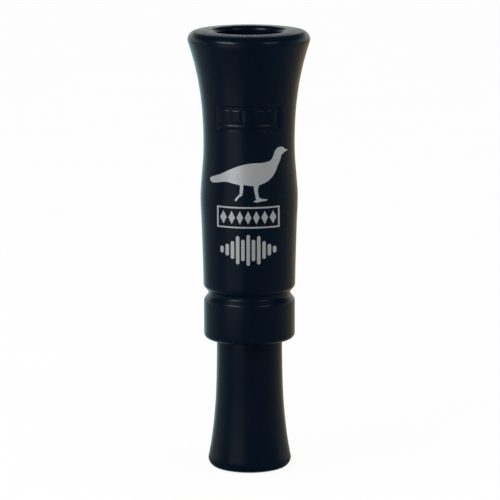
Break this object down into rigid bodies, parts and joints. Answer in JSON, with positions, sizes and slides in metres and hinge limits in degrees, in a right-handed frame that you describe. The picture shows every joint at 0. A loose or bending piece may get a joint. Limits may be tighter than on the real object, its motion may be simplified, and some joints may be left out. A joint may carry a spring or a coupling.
{
  "type": "mouth-blown reed game call",
  "caption": "Black moulded reed call: a lipped, waisted barrel pushed onto a bell-ended insert that holds a tone board, reed and wedge.",
  "frame": {"origin": "centre of the insert's bell rim, where the call stands", "axes": "+Z along the call's axis from the bell to the mouth; -Y is the front, which carries the recessed panel and the print"},
  "size_m": [0.035, 0.035, 0.1273],
  "materials": {
    "barrel_plastic": "satin",
    "insert_plastic": "satin",
    "tone_board_plastic": "satin",
    "reed_film": "satin",
    "ring_rubber": "matte",
    "wedge_cork": "matte",
    "silver_print": "satin"
  },
  "bodies": {
    "insert": {"insert": "insert_plastic", "tone_board": "tone_board_plastic", "wedge": "wedge_cork", "reed_root": "reed_film"},
    "reed": {"reed_tongue": "reed_film"},
    "seals": {"o_ring_lower": "ring_rubber", "o_ring_upper": "ring_rubber"},
    "barrel": {"barrel": "barrel_plastic"}
  },
  "joints": [
    {"name": "reed_flex", "type": "hinge", "parent": "insert", "child": "reed", "pos_m": [0, -0.00108, 0.06785], "axis": [1, 0, 0], "range_deg": [-1.8, 3], "stiffness_Nm_per_rad": 0.005},
    {"name": "barrel_twist", "type": "hinge", "parent": "insert", "child": "seals", "pos_m": [0, 0, 0.05], "axis": [0, 0, 1], "continuous": true},
    {"name": "barrel_pull", "type": "slide", "parent": "seals", "child": "barrel", "axis": [0, 0, 1], "range_m": [0, 0.072]}
  ]
}
